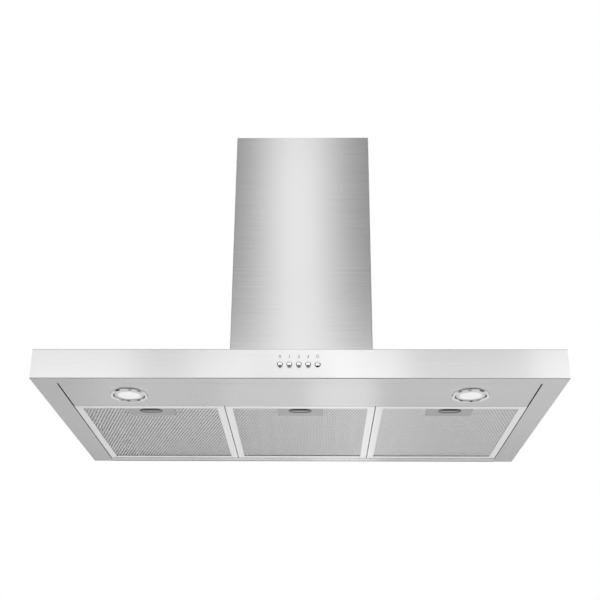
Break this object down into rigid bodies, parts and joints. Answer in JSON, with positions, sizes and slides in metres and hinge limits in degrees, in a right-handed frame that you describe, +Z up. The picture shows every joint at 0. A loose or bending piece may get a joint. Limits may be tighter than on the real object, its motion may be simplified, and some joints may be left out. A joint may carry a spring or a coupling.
{
  "type": "wall-mounted range hood",
  "caption": "Wall-mounted kitchen hood with a flat box canopy, swing-down grease filters, lamps, push buttons, an enclosed blower and a telescopic chimney cover.",
  "frame": {"origin": "on the wall, on the centre line, at the level of the canopy's underside", "axes": "+Z up, +Y into the wall, so the front faces -Y, and +X along the canopy to the right for someone facing its front"},
  "size_m": [0.898, 0.5255, 0.642],
  "materials": {
    "stainless": "satin",
    "filter_frame": "satin",
    "expanded_mesh": "satin",
    "latch_tray": "satin",
    "latch_slider": "satin",
    "spring_steel": "satin",
    "chrome": "polished",
    "lamp_body": "satin",
    "lens": "satin",
    "board": "matte",
    "galvanised": "satin",
    "moulded_black": "matte",
    "moulded_white": "matte",
    "moulded_grey": "matte",
    "motor_paint": "satin",
    "zinc_plated": "satin",
    "ground_steel": "gloss"
  },
  "bodies": {
    "hood": {"canopy_skin": "stainless", "canopy_back_panel": "stainless", "lamp_panel": "stainless", "switch_block": "moulded_black", "switch_bracket": "galvanised", "lamp_ring_left": "chrome", "lamp_capsule_left": "lamp_body", "lamp_lens_left": "lens", "lamp_board_left": "board", "lamp_clips_left": "spring_steel", "lamp_ring_right": "chrome", "lamp_capsule_right": "lamp_body", "lamp_lens_right": "lens", "lamp_board_right": "board", "lamp_clips_right": "spring_steel", "terminal_box": "moulded_white", "terminal_lid": "moulded_white", "terminal_block": "moulded_black", "lamp_driver": "moulded_white", "airbox_body": "galvanised", "airbox_front": "galvanised", "airbox_top": "galvanised", "airbox_screws": "zinc_plated", "cable_gland": "moulded_grey", "scroll_half_left": "moulded_black", "scroll_half_right": "moulded_black", "motor": "motor_paint", "motor_bracket": "galvanised", "capacitor": "moulded_white", "outlet_collar": "moulded_black", "damper_pin": "ground_steel", "chimney_lower": "stainless"},
    "filter_left": {"filter_frame_left": "filter_frame", "filter_mesh_left": "expanded_mesh", "latch_tray_left": "latch_tray", "latch_spring_left": "spring_steel"},
    "latch_left": {"latch_slider_left": "latch_slider"},
    "filter_centre": {"filter_frame_centre": "filter_frame", "filter_mesh_centre": "expanded_mesh", "latch_tray_centre": "latch_tray", "latch_spring_centre": "spring_steel"},
    "latch_centre": {"latch_slider_centre": "latch_slider"},
    "filter_right": {"filter_frame_right": "filter_frame", "filter_mesh_right": "expanded_mesh", "latch_tray_right": "latch_tray", "latch_spring_right": "spring_steel"},
    "latch_right": {"latch_slider_right": "latch_slider"},
    "button_off": {"button_off": "chrome"},
    "button_speed_1": {"button_speed_1": "chrome"},
    "button_speed_2": {"button_speed_2": "chrome"},
    "button_speed_3": {"button_speed_3": "chrome"},
    "button_light": {"button_light": "chrome"},
    "impeller": {"impeller": "moulded_grey", "motor_shaft": "ground_steel"},
    "damper_front": {"damper_flap_front": "moulded_grey"},
    "damper_rear": {"damper_flap_rear": "moulded_grey"},
    "chimney_upper": {"chimney_upper": "stainless", "chimney_hanger": "galvanised"}
  },
  "joints": [
    {"name": "off_press", "type": "slide", "parent": "hood", "child": "button_off", "axis": [0, 1, 0], "range_m": [0, 0.0035], "stiffness_N_per_m": 400},
    {"name": "speed_1_press", "type": "slide", "parent": "hood", "child": "button_speed_1", "axis": [0, 1, 0], "range_m": [0, 0.0035], "stiffness_N_per_m": 400},
    {"name": "speed_2_press", "type": "slide", "parent": "hood", "child": "button_speed_2", "axis": [0, 1, 0], "range_m": [0, 0.0035], "stiffness_N_per_m": 400},
    {"name": "speed_3_press", "type": "slide", "parent": "hood", "child": "button_speed_3", "axis": [0, 1, 0], "range_m": [0, 0.0035], "stiffness_N_per_m": 400},
    {"name": "light_press", "type": "slide", "parent": "hood", "child": "button_light", "axis": [0, 1, 0], "range_m": [-0.0025, 0.001], "stiffness_N_per_m": 400, "springref_m": -0.0025},
    {"name": "filter_left_swing", "type": "hinge", "parent": "hood", "child": "filter_left", "pos_m": [-0.27197, -0.0241, 0.0033], "axis": [1, 0, 0], "range_deg": [0, 45]},
    {"name": "latch_left_slide", "type": "slide", "parent": "filter_left", "child": "latch_left", "axis": [0, 1, 0], "range_m": [-0.0038, 0.0022], "stiffness_N_per_m": 300, "springref_m": -0.006, "deforming": ["latch_spring_left"]},
    {"name": "filter_centre_swing", "type": "hinge", "parent": "hood", "child": "filter_centre", "pos_m": [0, -0.0241, 0.0033], "axis": [1, 0, 0], "range_deg": [0, 45]},
    {"name": "latch_centre_slide", "type": "slide", "parent": "filter_centre", "child": "latch_centre", "axis": [0, 1, 0], "range_m": [-0.0038, 0.0022], "stiffness_N_per_m": 300, "springref_m": -0.006, "deforming": ["latch_spring_centre"]},
    {"name": "filter_right_swing", "type": "hinge", "parent": "hood", "child": "filter_right", "pos_m": [0.27197, -0.0241, 0.0033], "axis": [1, 0, 0], "range_deg": [0, 45]},
    {"name": "latch_right_slide", "type": "slide", "parent": "filter_right", "child": "latch_right", "axis": [0, 1, 0], "range_m": [-0.0038, 0.0022], "stiffness_N_per_m": 300, "springref_m": -0.006, "deforming": ["latch_spring_right"]},
    {"name": "impeller_spin", "type": "hinge", "parent": "hood", "child": "impeller", "pos_m": [0, -0.122, 0.167], "axis": [1, 0, 0], "continuous": true},
    {"name": "damper_front_swing", "type": "hinge", "parent": "hood", "child": "damper_front", "pos_m": [0, -0.1, 0.355], "axis": [-1, 0, 0], "range_deg": [0, 75]},
    {"name": "damper_rear_swing", "type": "hinge", "parent": "hood", "child": "damper_rear", "pos_m": [0, -0.1, 0.355], "axis": [1, 0, 0], "range_deg": [0, 75]},
    {"name": "chimney_extend", "type": "slide", "parent": "hood", "child": "chimney_upper", "axis": [0, 0, 1], "range_m": [0, 0.44]}
  ]
}
